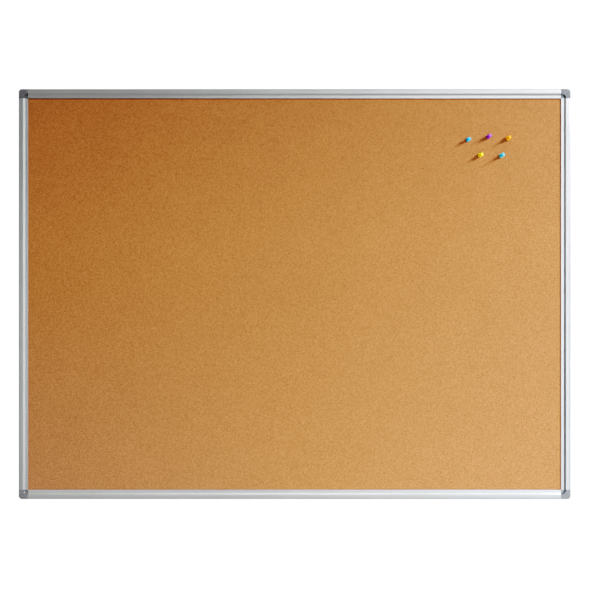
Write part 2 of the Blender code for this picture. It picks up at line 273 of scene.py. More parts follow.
def block(name, to_world, us, vs, ts, bevel=0.0):
    """A box between pairs of a corner's u, v and t."""
    low, high = (to_world(us[end], vs[end], ts[end]) for end in (0, 1))
    lo, hi = Vector(map(min, low, high)), Vector(map(max, low, high))
    bm = bmesh.new()
    bmesh.ops.create_cube(bm, size=1.0)
    bmesh.ops.scale(bm, vec=hi - lo, verts=bm.verts)
    bmesh.ops.translate(bm, vec=(hi + lo) / 2, verts=bm.verts)
    if bevel:
        bmesh.ops.bevel(
            bm, geom=list(bm.edges), offset=bevel * MM, segments=2, profile=0.5, affect="EDGES"
        )
    return finish_mesh(name, bm, None)


# ------------------------------------------------------------------ material helpers
class Nodes:
    """A short way to write a node tree; scales are per metre."""

    def __init__(self, name):
        self.material = bpy.data.materials.new(name)
        self.material.use_nodes = True
        self.tree = self.material.node_tree
        self.shader = self.tree.nodes["Principled BSDF"]
        self.at = self.tree.nodes.new("ShaderNodeTexCoord").outputs["Object"]

    def put(self, socket, value):
        if isinstance(value, bpy.types.NodeSocket):
            self.tree.links.new(value, socket)
        else:
            socket.default_value = value

    def node(self, kind, out=0, settings=(), **inputs):
        """Add a node and return one output; inputs go by name, or by number as i0, i1 and so on."""
        made = self.tree.nodes.new(kind)
        for key, value in dict(settings).items():
            setattr(made, key, value)
        for key, value in inputs.items():
            index = int(key[1:]) if key[0] == "i" and key[1:].isdigit() else key.replace("_", " ")
            self.put(made.inputs[index], value)
        return made.outputs[out]

    def scaled(self, x, y, z, turn=(0, 0, 0)):
        return self.node("ShaderNodeMapping", Vector=self.at, Scale=(x, y, z), Rotation=turn)

    def noise(self, vector, scale, detail=3.0, rough=0.5, distortion=0.0):
        return self.node(
            "ShaderNodeTexNoise", Vector=vector, Scale=scale, Detail=detail, Roughness=rough,
            Distortion=distortion,
        )

    def cells(self, vector, scale, out="Color", feature="F1"):
        return self.node(
            "ShaderNodeTexVoronoi", out, {"feature": feature}, Vector=vector, Scale=scale
        )

    def channel(self, colour, index=0):
        return self.node("ShaderNodeSeparateColor", index, i0=colour)

    def maths(self, how, a, b=0.0):
        return self.node("ShaderNodeMath", 0, {"operation": how}, i0=a, i1=b, i2=0.0)

    def add(self, a, b):
        return self.maths("ADD", a, b)

    def minus(self, a, b):
        return self.maths("SUBTRACT", a, b)

    def times(self, a, b):
        return self.maths("MULTIPLY", a, b)

    def weighted(self, first, *rest):
        """Sum of (value, weight) pairs."""
        total = self.times(*first)
        for pair in rest:
            total = self.add(total, self.times(*pair))
        return total

    def remap(self, value, over, to=(0.0, 1.0), clamp=True):
        return self.node(
            "ShaderNodeMapRange", 0, {"clamp": clamp},
            i0=value, i1=over[0], i2=over[1], i3=to[0], i4=to[1],
        )

    def ramp(self, value, *stops):
        """Colour ramp through (position, colour) stops."""
        made = self.tree.nodes.new("ShaderNodeValToRGB")
        self.put(made.inputs[0], value)
        points = made.color_ramp.elements
        while len(points) < len(stops):
            points.new(0.5)
        for point, (position, colour) in zip(points, stops):
            point.position = position
            point.color = (*colour, 1)
        return made.outputs[0]

    def mix(self, factor, a, b, blend="MIX"):
        made = self.tree.nodes.new("ShaderNodeMix")
        made.data_type, made.blend_type = "RGBA", blend
        self.put(made.inputs[0], factor)
        for socket, value in ((made.inputs[6], a), (made.inputs[7], b)):
            self.put(socket, (*value, 1) if isinstance(value, tuple) else value)
        return made.outputs[2]

    def tint(self, factor, a, b):
        return self.mix(factor, a, b, "MULTIPLY")

    def bump(self, height, strength, distance):
        return self.node("ShaderNodeBump", Height=height, Strength=strength, Distance=distance)

    def edges(self, radius):
        """1 on convex or concave edges within radius metres, 0 on flats."""
        soft = self.node("ShaderNodeBevel", 0, {"samples": 4}, Radius=radius)
        hard = self.node("ShaderNodeNewGeometry", "Normal")
        dot = self.node(
            "ShaderNodeVectorMath", "Value", {"operation": "DOT_PRODUCT"}, i0=soft, i1=hard
        )
        return self.remap(dot, over=(0.93, 0.999), to=(1.0, 0.0))

    def set(self, **inputs):
        for key, value in inputs.items():
            self.put(self.shader.inputs[key.replace("_", " ")], value)
        return self.material


def dress(obj, material, body, node):
    """Give a piece its material and tell the frame what it rides on and replaces."""
    obj.data.materials.clear()
    obj.data.materials.append(material)
    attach(obj, body)
    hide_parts(node)


# ------------------------------------------------------------------ materials
def aluminium(name, stretch, left_light_tint):
    """Satin anodised extrusion: fine die lines along its length, soft blotches, brighter edges, and a
    painted light tint across the board.
    """
    m = Nodes(name)
    lines = m.noise(m.scaled(*stretch), scale=1.0, detail=4.0, rough=0.6)
    long_lines = m.noise(m.scaled(*[s * 0.25 for s in stretch]), scale=1.0, detail=2.0)
    blotch = m.noise(m.at, scale=9.0, rough=0.55)
    grain = m.noise(m.at, scale=2600.0, detail=2.0, rough=0.6)
    worn = m.edges(radius=0.0006)
    tone = m.weighted((lines, 0.6), (blotch, 0.4))
    colour = m.mix(m.remap(tone, over=(0.3, 0.7)), (0.80, 0.805, 0.80), (0.90, 0.90, 0.895))
    colour = m.mix(m.times(worn, 0.35), colour, (0.97, 0.97, 0.97))
    # painted light: the metal is tinted a hair cooler towards the right of the board, where the cool
    # lamps fall, with its own given tint at the left end
    east = m.node("ShaderNodeSeparateXYZ", "X", i0=m.at)
    light_tint = m.mix(m.remap(east, over=(X0, X1)), left_light_tint, (0.978, 0.998, 1.035))
    colour = m.tint(1.0, colour, light_tint)
    rough = m.remap(lines, over=(0.3, 0.7), to=(0.34, 0.42))
    rough = m.add(rough, m.remap(blotch, over=(0.35, 0.65), to=(-0.02, 0.02)))
    rough = m.minus(rough, m.times(worn, 0.08))
    relief = m.weighted((lines, 0.6), (long_lines, 0.4), (grain, 0.25))
    return m.set(
        Base_Color=colour, Metallic=0.96, Roughness=rough,
        Normal=m.bump(relief, strength=0.12, distance=0.00004),
    )


def scoop_gloss_and_painted_light(m, colour, roughness, dark):
    """Smoother plastic in the quarter-round scoop at each cap's inner corner, with painted shade in the
    scoop, deepest on its steep wall, and a painted light tint across the caps.
    """
    place_at = m.node("ShaderNodeSeparateXYZ", i0=m.at).node.outputs

    def inset(value, middle, width):
        """Distance in from the frame's inner edge, in metres."""
        return m.minus(width / 2 - FACE * MM, m.maths("ABSOLUTE", m.minus(value, middle)))

    across = inset(place_at["X"], MID.x, X1 - X0)
    upright = inset(place_at["Z"], MID.z, Z1 - Z0)
    reach = m.maths("SQRT", m.add(m.times(across, across), m.times(upright, upright)))
    smooth = m.remap(reach, over=(0.0101, 0.0105), to=(1.0, 0.0))
    wall = m.times(smooth, m.remap(reach, over=(0.0052, 0.0080)))
    roughness = m.minus(roughness, m.times(smooth, 0.20))
    # painted shade: the scoop is drawn darker, most on its steep wall, where the key's shade falls
    shade = m.weighted((smooth, 0.16), (wall, 0.50))
    colour = m.mix(shade, colour, tuple(c * 0.22 for c in dark))
    # painted light: the caps are tinted cooler and darker towards the right of the board, where the cool
    # lamps fall
    east = m.remap(place_at["X"], over=(X0, X1))
    colour = m.tint(1.0, colour, m.mix(east, (1.0, 0.98, 0.965), (0.83, 0.87, 0.93)))
    return colour, roughness


def moulded_plastic(name, dark, light, rough, grain, scoop=False):
    """Spark-textured moulding: pebbled skin, faint mottling, paler edges."""
    m = Nodes(name)
    pebble = m.noise(m.at, scale=grain, rough=0.65)
    speck = m.channel(m.cells(m.at, scale=grain * 0.55))
    cloud = m.noise(m.at, scale=90.0, rough=0.6)
    worn = m.edges(radius=0.0005)
    tone = m.weighted((pebble, 0.65), (cloud, 0.15), (speck, 0.20))
    colour = m.mix(m.remap(tone, over=(0.34, 0.68)), dark, light)
    colour = m.mix(m.times(worn, 0.30), colour, tuple(min(1.0, c * 1.8) for c in light))
    roughness = m.remap(pebble, over=(0.3, 0.7), to=rough[::-1])
    roughness = m.minus(roughness, m.times(worn, 0.08))
    height = m.add(pebble, m.times(speck, 0.35))
    if scoop:
        colour, roughness = scoop_gloss_and_painted_light(m, colour, roughness, dark)
    return m.set(
        Base_Color=colour, Metallic=0.0, Roughness=roughness,
        Normal=m.bump(height, strength=0.55, distance=0.00006), Specular_IOR_Level=0.5,
    )


def cork_edge_shade(m, east, up):
    """Painted shadow of the frame's lips on the last millimetres of cork beside them, deepest along the
    top and right.
    """
    top_depth = m.remap(east, over=(MID.x - 0.1, X1 - 0.1), to=(0.50, 0.74))
    # position, lip edge, offset from it where the shade starts, depth of shade
    bands = (
        (up, Z1 - FACE * MM, -0.0034, top_depth),
        (east, X1 - FACE * MM, -0.0030, 0.50),
        (up, Z0 + FACE * MM, 0.0020, 0.22),
        (east, X0 + FACE * MM, 0.0020, 0.22),
    )
    total = 0.0
    for value, edge, inside, depth in bands:
        band = m.remap(value, over=(edge + inside, edge + inside * 0.3), to=(0.0, depth))
        total = m.add(total, band)
    return total


def cork_material():
    """Pressed granules of about two millimetres, paler and darker, with very soft clouds."""
    m = Nodes("cork_granules")
    wobble = m.node(
        "ShaderNodeVectorMath", 0, {"operation": "SCALE"},
        i0=m.node("ShaderNodeTexNoise", "Color", Vector=m.at, Scale=320.0, Detail=2.0),
        Scale=0.0013,
    )
    warp = m.node("ShaderNodeVectorMath", 0, {"operation": "ADD"}, i0=m.at, i1=wobble)
    granules, fine_granules = 540.0, 1250.0
    grain = m.channel(m.cells(warp, scale=granules))
    bark = m.channel(m.cells(warp, scale=granules), 1)
    fine = m.channel(m.cells(warp, scale=fine_granules))
    gap = m.cells(warp, scale=granules, out="Distance", feature="DISTANCE_TO_EDGE")
    cloud = m.noise(m.at, scale=16.0, detail=4.0, rough=0.6)
    drift = m.noise(m.at, scale=3.2, detail=2.0)
    fibre = m.noise(m.at, scale=1400.0, rough=0.7)
    tone = m.weighted((grain, 0.50), (fine, 0.30), (fibre, 0.20))
    tone = m.remap(tone, over=(0.5, 1.0), to=(0.5, 1.22), clamp=False)
    colour = m.ramp(
        tone,
        (0.08, (0.329, 0.137, 0.047)),
        (0.30, (0.448, 0.174, 0.062)),
        (0.52, (0.505, 0.193, 0.070)),
        (0.74, (0.552, 0.211, 0.077)),
        (0.94, (0.612, 0.246, 0.098)),
    )
    # a few bark-dark grains, and thin binder lines between the cells
    dark = m.remap(bark, over=(0.955, 0.985), to=(0.0, 0.45))
    colour = m.mix(dark, colour, (0.238, 0.080, 0.027))
    line = m.remap(gap, over=(0.0, 0.10), to=(0.22, 0.0))
    colour = m.mix(line, colour, (0.370, 0.131, 0.045))
    shade = m.add(
        m.remap(cloud, over=(0.3, 0.7), to=(-0.022, 0.022)),
        m.remap(drift, over=(0.3, 0.7), to=(-0.012, 0.012)),
    )
    # painted shade: the sheet is drawn a little darker towards its top edge, where the light is weaker
    east, up = (m.node("ShaderNodeSeparateXYZ", axis, i0=m.at) for axis in "XZ")
    shade = m.minus(shade, m.remap(up, over=(Z1 - 0.33, Z1 - 0.02), to=(0.0, 0.165)))
    # painted shadow: the lips' shadow on the cork, darkened and reddened
    rim = cork_edge_shade(m, east, up)
    colour = m.tint(m.maths("MINIMUM", rim, 1.0), colour, (1.08, 0.80, 1.0))
    shade = m.minus(shade, rim)
    colour = m.node("ShaderNodeHueSaturation", Color=colour, Value=m.add(1.0, shade))
    # painted light tint: warmer towards the top, paler and bluer towards the lower left corner,
    # following how the light falls across the board
    top = m.remap(up, over=(MID.z - 0.12, Z1 - 0.03))
    colour = m.tint(top, colour, (0.97, 0.925, 0.86))
    corner = m.times(
        m.remap(up, over=(MID.z, Z0 + 0.03)), m.remap(east, over=(MID.x, X0 + 0.03))
    )
    colour = m.tint(corner, colour, (1.02, 1.09, 1.42))
    height = m.weighted((grain, 0.5), (fine, 0.35))
    height = m.add(height, m.remap(gap, over=(0.0, 0.16), to=(-0.35, 0.0)))
    height = m.add(height, m.times(fibre, 0.3))
    return m.set(
        Base_Color=colour,
        Roughness=m.remap(fibre, over=(0.3, 0.7), to=(0.66, 0.82)),
        Specular_IOR_Level=0.45,
        Normal=m.bump(height, strength=0.35, distance=0.00018),
    )


def softboard_material():
    """Felted wood fibre: short crossing fibres and soft clouds."""
    m = Nodes("softboard_fibre")
    across = m.noise(m.scaled(1600, 1600, 180, turn=(0.3, 0.2, 0.5)), scale=1.0, rough=0.6)
    along = m.noise(m.scaled(180, 1600, 1600, turn=(0.1, 0.4, -0.4)), scale=1.0, rough=0.6)
    cloud = m.noise(m.at, scale=22.0, detail=4.0, rough=0.6)
    tone = m.weighted((across, 0.35), (along, 0.35), (cloud, 0.3))
    colour = m.mix(m.remap(tone, over=(0.36, 0.64)), (0.22, 0.15, 0.085), (0.42, 0.31, 0.20))
    return m.set(
        Base_Color=colour, Roughness=m.remap(tone, over=(0.3, 0.7), to=(0.95, 0.8)),
        Normal=m.bump(tone, strength=0.6, distance=0.0002),
    )


def backing_material():
    """Kraft-faced backing: paper fibres, flecks, calendering lines and a few scuffs."""
    m = Nodes("backing_kraft")
    fibres = m.noise(
        m.scaled(120, 900, 1500, turn=(0.0, 0.15, 0.0)), scale=1.0, detail=4.0, rough=0.65
    )
    cross = m.noise(m.scaled(1300, 900, 160, turn=(0.0, -0.2, 0.0)), scale=1.0, rough=0.6)
    cloud = m.noise(m.at, scale=7.0, detail=5.0, rough=0.6)
    fleck = m.cells(m.scaled(1, 1, 2.6, turn=(0, 0.5, 0)), scale=210.0, out="Distance")
    lines = m.noise(m.scaled(1.5, 300, 260), scale=1.0, detail=2.0)
    scuff = m.noise(m.scaled(4, 60, 90, turn=(0, 0.35, 0)), scale=1.0, detail=5.0, rough=0.75)
    tone = m.weighted((fibres, 0.35), (cross, 0.25), (cloud, 0.3), (lines, 0.1))
    colour = m.ramp(
        tone,
        (0.34, (0.30, 0.205, 0.115)),
        (0.5, (0.385, 0.27, 0.155)),
        (0.66, (0.455, 0.33, 0.20)),
    )
    flecked = m.remap(fleck, over=(0.06, 0.16), to=(0.45, 0.0))
    colour = m.mix(flecked, colour, (0.20, 0.12, 0.06))
    scuffed = m.remap(scuff, over=(0.68, 0.80), to=(0.0, 0.35))
    colour = m.mix(scuffed, colour, (0.55, 0.43, 0.29))
    height = m.add(fibres, m.times(cross, 0.6))
    return m.set(
        Base_Color=colour,
        Roughness=m.remap(tone, over=(0.35, 0.65), to=(0.80, 0.66)),
        Normal=m.bump(height, strength=0.35, distance=0.00012),
    )


def screw_material():
    """Zinc-plated steel: faint passivation tints and brighter edges."""
    m = Nodes("screw_zinc")
    cloud = m.noise(m.at, scale=700.0, rough=0.6)
    grain = m.noise(m.at, scale=5200.0, detail=2.0, rough=0.6)
    worn = m.edges(radius=0.0002)
    colour = m.ramp(
        cloud, (0.3, (0.48, 0.49, 0.50)), (0.5, (0.62, 0.62, 0.60)), (0.7, (0.66, 0.63, 0.55))
    )
    colour = m.mix(m.times(worn, 0.5), colour, (0.85, 0.85, 0.84))
    return m.set(
        Base_Color=colour, Metallic=1.0,
        Roughness=m.remap(cloud, over=(0.3, 0.7), to=(0.28, 0.42)),
        Normal=m.bump(grain, strength=0.2, distance=0.00003),
    )


def needle_material():
    """Drawn steel wire: fine draw lines from front to back, softly varied gloss."""
    m = Nodes("needle_drawn_steel")
    lines = m.noise(m.scaled(5200, 420, 5200), scale=1.0, rough=0.6)
    cloud = m.noise(m.at, scale=900.0, detail=2.0)
    colour = m.mix(m.remap(lines, over=(0.3, 0.7)), (0.62, 0.62, 0.63), (0.78, 0.78, 0.79))
    return m.set(
        Base_Color=colour, Metallic=1.0,
        Roughness=m.remap(cloud, over=(0.3, 0.7), to=(0.14, 0.24)),
        Normal=m.bump(lines, strength=0.15, distance=0.00002),
    )


def pin_plastic(name, deep, bright):
    """Moulded head: flow swirls in the pigment, light passing in, faint handling marks."""
    m = Nodes("pin_plastic_" + name)
    swirl = m.noise(m.at, scale=260.0, rough=0.55, distortion=1.2)
    marks = m.noise(m.scaled(900, 2600, 900), scale=1.0, detail=4.0, rough=0.7)
    worn = m.edges(radius=0.0004)
    colour = m.mix(m.remap(swirl, over=(0.35, 0.65)), deep, bright)
    edge_colour = tuple(min(1.0, 0.3 + 0.7 * c) for c in bright)
    colour = m.mix(m.times(worn, 0.12), colour, edge_colour)
    return m.set(
        Base_Color=colour,
        Roughness=m.remap(marks, over=(0.35, 0.7), to=(0.36, 0.50)),
        Normal=m.bump(marks, strength=0.06, distance=0.00004),
        Specular_IOR_Level=0.14,
        Subsurface_Weight=0.25,
        Subsurface_Radius=(1.0, 1.0, 1.0),
        Subsurface_Scale=0.0018,
        Coat_Weight=0.03,
        Coat_Roughness=0.20,
    )


# the stretch is small along the rail's length
RAIL_ACROSS = aluminium(
    "rail_aluminium_across", stretch=(3, 900, 900), left_light_tint=(1.0, 1.0, 0.968)
)
RAIL_UPRIGHT = aluminium(
    "rail_aluminium_upright", stretch=(900, 900, 3), left_light_tint=(0.985, 1.0, 1.01)
)
CAP_PLASTIC = moulded_plastic(
    "corner_cap_grey", dark=(0.150, 0.155, 0.167), light=(0.240, 0.248, 0.268),
    rough=(0.36, 0.50), grain=1300.0, scoop=True,
)
BASE_PLASTIC = moulded_plastic(
    "corner_base_grey", dark=(0.120, 0.125, 0.134), light=(0.200, 0.207, 0.221),
    rough=(0.48, 0.62), grain=1100.0,
)
CORK = cork_material()
SOFTBOARD = softboard_material()
BACKING = backing_material()
SCREW = screw_material()
NEEDLE = needle_material()
# pin name: deep and bright pigment
PIN_COLOURS = {
    "blue": ((0.038, 0.44, 0.80), (0.055, 0.57, 0.91)),
    "purple": ((0.23, 0.042, 0.37), (0.34, 0.07, 0.57)),
    "orange": ((0.92, 0.24, 0.004), (0.98, 0.35, 0.010)),
    "yellow": ((0.92, 0.61, 0.010), (0.98, 0.75, 0.025)),
    "cyan": ((0.03, 0.46, 0.62), (0.05, 0.56, 0.72)),
}
PIN_PLASTIC = {name: pin_plastic(name, *pair) for name, pair in PIN_COLOURS.items()}

# ------------------------------------------------------------------ frame rails
BAND_END, STEP_END = 9.6, 14.0  # the flat outer band, then the slope down to the lip
LIP_T, LIP_BACK = 2.4, 3.6  # depths of the lip's front and back
SLOPE_INSET = 0.7  # the slope's back ends this much nearer the outer edge
WALL = 1.2
WEB_IN = 9.0
WEB_OUT = WEB_IN + WALL
BACK_FLANGE, BACK_WALL = 16.0, 16.7  # the back flange's reach inward, and its front's depth
SLOPE = LIP_T / (STEP_END - BAND_END)
# Section: distance in from the outer edge, depth from the front, corner radius
SECTION = rounded_loop(
    [
        (0, 0, 1.2), (BAND_END, 0, 0.5), (STEP_END, LIP_T, 0.4), (FACE, LIP_T, 0.25),
        (FACE, LIP_BACK, 0.2), (STEP_END - SLOPE_INSET, LIP_BACK, 0.3),
        (WEB_OUT, LIP_BACK - (STEP_END - SLOPE_INSET - WEB_OUT) * SLOPE, 0.3),
        (WEB_OUT, BACK_WALL, 0.3), (BACK_FLANGE, BACK_WALL, 0.25), (BACK_FLANGE, DEPTH, 0.3),
        (0, DEPTH, 0.35),
    ],
    6,
)
HOLLOW = rounded_loop(
    [
        (WALL, WALL, 0.4), (WALL, DEPTH - WALL, 0.4), (WEB_IN, DEPTH - WALL, 0.4),
        (WEB_IN, WALL, 0.4),
    ],
    4,
)
SINK = (1.8, 3.1)  # countersink radii at its floor and at the rail's back
SINK_DEPTH = SINK[1] - SINK[0]
OVERCUT = 0.3


def rail(name, at, inward, length, screws, material):
    """The section extruded along a rail, with a countersunk hole from the back at each screw."""
    curve = bpy.data.curves.new(name, "CURVE")
    curve.dimensions, curve.fill_mode, curve.extrude = "2D", "BOTH", length / 2
    for loop in (SECTION, HOLLOW):
        spline = curve.splines.new("POLY")
        spline.points.add(len(loop) - 1)
        for point, (inset, depth) in zip(spline.points, loop):
            point.co = (inset * MM, depth * MM, 0, 1)
        spline.use_cyclic_u = True
    drawn = new_object(name + "_section", curve)
    axes = Matrix((inward, BACK, inward.cross(BACK))).transposed().to_4x4()
    drawn.matrix_world = Matrix.Translation(at) @ axes
    mesh = evaluated_mesh(drawn)
    mesh.transform(drawn.matrix_world)
    bpy.data.objects.remove(drawn, do_unlink=True)
    bm = bmesh.new()
    bm.from_mesh(mesh)
    bmesh.ops.remove_doubles(bm, verts=bm.verts, dist=1e-6)
    made = new_object("fine_" + name, finish_mesh("fine_" + name, bm))
    holes = (
        ("sink", DEPTH - SINK_DEPTH, DEPTH + OVERCUT, SINK[0], SINK[1] + OVERCUT),
        ("clear", DEPTH - 3, DEPTH - 0.8, SINK[0] - 0.02, SINK[0] - 0.02),
    )
    for point in screws:
        for hole, t0, t1, r0, r1 in holes:
            start, end = point + BACK * t0 * MM, point + BACK * t1 * MM
            combine(made, rod_mesh(hole, start, end, r0, r1))
    settle(made, 30)
    dress(made, material, "board", name)


top_box, left_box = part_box("frame_rail_top"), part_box("frame_rail_left")
for side, z, side_z in (("top", Z1, 1), ("bottom", Z0, -1)):
    rail(
        "frame_rail_" + side, at=Vector((MID.x, Y_FRONT, z)), inward=Vector((0, 0, -side_z)),
        length=top_box[1].x - top_box[0].x,
        screws=[place(s, side_z, SCREW_AT, LEG_MID, 0) for s in (-1, 1)], material=RAIL_ACROSS,
    )
for side, x, side_x in (("left", X0, -1), ("right", X1, 1)):
    rail(
        "frame_rail_" + side, at=Vector((x, Y_FRONT, MID.z)), inward=Vector((-side_x, 0, 0)),
        length=left_box[1].z - left_box[0].z,
        screws=[place(side_x, s, LEG_MID, SCREW_AT, 0) for s in (-1, 1)], material=RAIL_UPRIGHT,
    )

# ------------------------------------------------------------------ corners
CAP_FRONT, CAP_BACK, BASE_FRONT = -0.3, 6.9, 7.2  # depths
ROUND = 7.0  # outer corner radius
CAP_SKIN, CAP_ROOF = 1.5, 1.7  # side and front thickness of the cap
PRONG_AT = (5.4, 15.0)  # u and v of one prong, swapped for the other
PRONGS = (PRONG_AT, PRONG_AT[::-1])
WALL_HOLE = 5.8  # u and v of the round hole through the connector
NOTCH = (WEB_OUT, 30)  # the square cut away at the inner corner
LEG_LONG, LEG_DEEP = (12, 55), (7.6, 16.4)
POCKET_WIDE, POCKET_DEEP, POCKET_LONG = (3.0, 7.2), (6.0, 11.5), 5.2
POCKET_FIRST, POCKET_PITCH = 24.0, 8.0
PRONG_SEGMENTS = 36

# One large rounded corner and three sharp ones
CORNER_OUTLINE = rounded_loop(
    [(0, 0, ROUND), (CORNER_SIZE, 0, 0), (CORNER_SIZE, CORNER_SIZE, 0), (0, CORNER_SIZE, 0)], 24
)
INNER_WIDE, INNER_NARROW = 18.35, 8.7
CAP_HOLLOW = rounded_loop(
    [
        (CAP_SKIN, CAP_SKIN, ROUND - CAP_SKIN), (INNER_WIDE, CAP_SKIN, 0.4),
        (INNER_WIDE, INNER_NARROW, 0.4), (CAP_SKIN, INNER_NARROW, 0.4),
    ],
    10,
)
# Quarter-round scoop: radius from its centre, rise in front of its floor
SCOOP_FLOOR = 2.2
SCOOP_RISE = [
    (0.0, 0), (2.5, 0), (4.8, 0), (6.2, 0.06), (7.1, 0.28), (7.9, 0.72), (8.7, 1.36),
    (9.35, 1.98), (9.9, 2.36), (10.4, 2.50), (10.9, 2.54),
]
SCOOP = smooth_profile([(r, SCOOP_FLOOR - rise) for r, rise in SCOOP_RISE], steps=3)
SCOOP += [(11.6, CAP_FRONT - 0.05), (11.6, CAP_FRONT - 3), (0.0, CAP_FRONT - 3)]
# Prong: radius, depth
PRONG = [
    (0.0, 11.4), (0.9, 11.4), (1.3, 11.0), (1.5, 10.3), (1.38, 9.4), (1.35, 6.0), (1.45, 2.0),
    (1.6, 1.2), (0.0, 0.9),
]


def corner_cap(name, at):
    """The front cover of one corner: a hollow shell with a scoop, two prongs and their webs."""
    outer = prism("fine_" + name, CORNER_OUTLINE, CAP_FRONT, CAP_BACK, at, 0.55, 0.15)
    cap = new_object("fine_" + name, outer)
    combine(cap, turned_mesh("quadrant", SCOOP, 128, facing_back(at(FACE, FACE, 0))))
    combine(cap, block("notch", at, NOTCH, NOTCH, (LIP_BACK - 0.05, CAP_BACK + 2)))
    for loop in (CAP_HOLLOW, [(v, u) for u, v in CAP_HOLLOW]):
        combine(cap, prism("hollow", loop, CAP_FRONT + CAP_ROOF, CAP_BACK + 1, at))
    for u, v in PRONGS:
        prong = turned_mesh("prong", PRONG, PRONG_SEGMENTS, facing_back(at(u, v, 0)))
        combine(cap, prong, "UNION")
        # a flat web through the prong, lying across its arm of the cap
        du, dv = (0.45, 1.9) if u < v else (1.9, 0.45)
        web = block("web", at, (u - du, u + du), (v - dv, v + dv), (1.2, 5.6), 0.1)
        combine(cap, web, "UNION")
    settle(cap, 32)
    dress(cap, CAP_PLASTIC, "cap_" + name.removeprefix("corner_cap_"), name)


def drill(piece, name, here, t0, t1, r0, r1=None, segments=48):
    """Cut a round hole between two depths behind a point on the front plane."""
    start, end = here + BACK_MM * t0, here + BACK_MM * t1
    combine(piece, rod_mesh(name, start, end, r0, r0 if r1 is None else r1, segments))


def leg_mesh(at, across):
    """One leg that reaches into a rail, with pockets open to the front and a screw's hole."""

    def ordered(along, wide):
        return (along, wide) if across else (wide, along)

    leg = new_object("tool_leg", block("leg", at, *ordered(LEG_LONG, LEG_WIDE), LEG_DEEP, 0.6))
    # the second of four even places is left to the screw
    for k in (0, 2, 3):
        start = POCKET_FIRST + k * POCKET_PITCH
        us, vs = ordered((start, start + POCKET_LONG), POCKET_WIDE)
        combine(leg, block("pocket", at, us, vs, POCKET_DEEP, 0.3))
    drill(leg, "pilot", at(*ordered(SCREW_AT, LEG_MID), 0), 9.3, DEPTH, 1.75, segments=32)
    settle(leg, 32)
    mesh = leg.data
    bpy.data.objects.remove(leg, do_unlink=True)
    return mesh


def corner_base(name, at):
    """The connector behind a cap: a plate with two legs, a stepped hole and two prong sockets."""
    plate = prism("fine_" + name, CORNER_OUTLINE, BASE_FRONT, DEPTH, at, 0.15, 0.35)
    base = new_object("fine_" + name, plate)
    combine(base, block("notch", at, NOTCH, NOTCH, (BASE_FRONT - 1, BACK_WALL)))
    for across in (True, False):
        combine(base, leg_mesh(at, across), "UNION")
    here = at(WALL_HOLE, WALL_HOLE, 0)
    drill(base, "wall_hole", here, 5, 20, 2.1)
    drill(base, "wall_bore", here, 5, 12.0, 4.0, segments=64)
    drill(base, "wall_edge", here, DEPTH - 0.4, DEPTH + 0.4, 2.1, 2.9)
    for u, v in PRONGS:
        drill(base, "socket", at(u, v, 0), 5, 12.2, 1.85, segments=PRONG_SEGMENTS)
    settle(base, 32)
    dress(base, BASE_PLASTIC, "board", name)


for corner, side_x, side_z in CORNERS:
    corner_at = partial(place, side_x, side_z)
    corner_cap("corner_cap_" + corner, corner_at)
    corner_base("corner_base_" + corner, corner_at)

# ------------------------------------------------------------------ screws
SCREW_SEGMENTS = 36
THREAD_PITCH, THREAD_CORE, THREAD_CREST = 1.1, 1.08, 1.42
THREAD_ROWS, SCREW_END = 60, -8.0
# Countersunk head: radius, height
SCREW_HEAD = [
    (0.0, -0.10), (2.0, -0.10), (2.55, -0.12), (2.68, -0.20), (2.66, -0.32), (2.0, -1.0),
    (1.5, -1.5), (1.30, -1.75),
]


def screw_mesh(name):
    """Countersunk self-tapping screw with a real thread, its head towards +Z near z = 0."""
    rings = [[point] * SCREW_SEGMENTS for point in SCREW_HEAD]
    top = SCREW_HEAD[-1][1]
    for i in range(1, THREAD_ROWS + 1):
        z = top + (SCREW_END - top) * i / THREAD_ROWS
        taper = min(1.0, (z - SCREW_END) / 1.8)
        start = min(1.0, (top - z) / 0.6)
        ring = []
        for k in range(SCREW_SEGMENTS):
            phase = (z / THREAD_PITCH + k / SCREW_SEGMENTS) % 1.0
            bite = max(0.0, 1 - abs(phase - 0.5) / 0.28)
            r = THREAD_CORE + (THREAD_CREST - THREAD_CORE) * bite * start
            r *= max(0.04, taper) ** 0.75
            ring.append((0.0 if i == THREAD_ROWS else r, z))
        rings.append(ring)
    return ring_mesh(name, rings)


def recess_tool(turn):
    """One blade of the cross recess, narrower at its floor."""
    bm = bmesh.new()
    bmesh.ops.create_cube(bm, size=1.0)
    for vert in bm.verts:
        long, wide, z = (1.3, 0.42, -1.35) if vert.co.z < 0 else (3.3, 0.72, 0.6)
        vert.co = Vector((vert.co.x * long, vert.co.y * wide, z)) * MM
    bmesh.ops.rotate(bm, matrix=Matrix.Rotation(turn, 3, "Z"), verts=bm.verts)
    return finish_mesh("recess", bm, None)


first_screw = new_object("tool_screw", screw_mesh("screw"))
combine(first_screw, recess_tool(0.0))
combine(first_screw, recess_tool(math.pi / 2))
settle(first_screw, 34)
# side, u and v, extra turn of the recess in radians
SCREW_SIDES = (("across", (SCREW_AT, LEG_MID), 0.0), ("upright", (LEG_MID, SCREW_AT), 0.9))
for number, (corner, side_x, side_z) in enumerate(CORNERS):
    for side, (u, v), extra in SCREW_SIDES:
        name = f"corner_screw_{corner}_{side}"
        mesh = first_screw.data.copy()
        turn = Matrix.Rotation(0.35 + 1.7 * number + extra, 4, "Z")
        mesh.transform(facing_back(place(side_x, side_z, u, v, DEPTH)) @ turn)
        mesh.name = "fine_" + name
        dress(new_object("fine_" + name, mesh), SCREW, "board", name)
bpy.data.objects.remove(first_screw, do_unlink=True)

# ------------------------------------------------------------------ push pins
NEEDLE_REACH = 10.5  # from the head's base to the needle's point
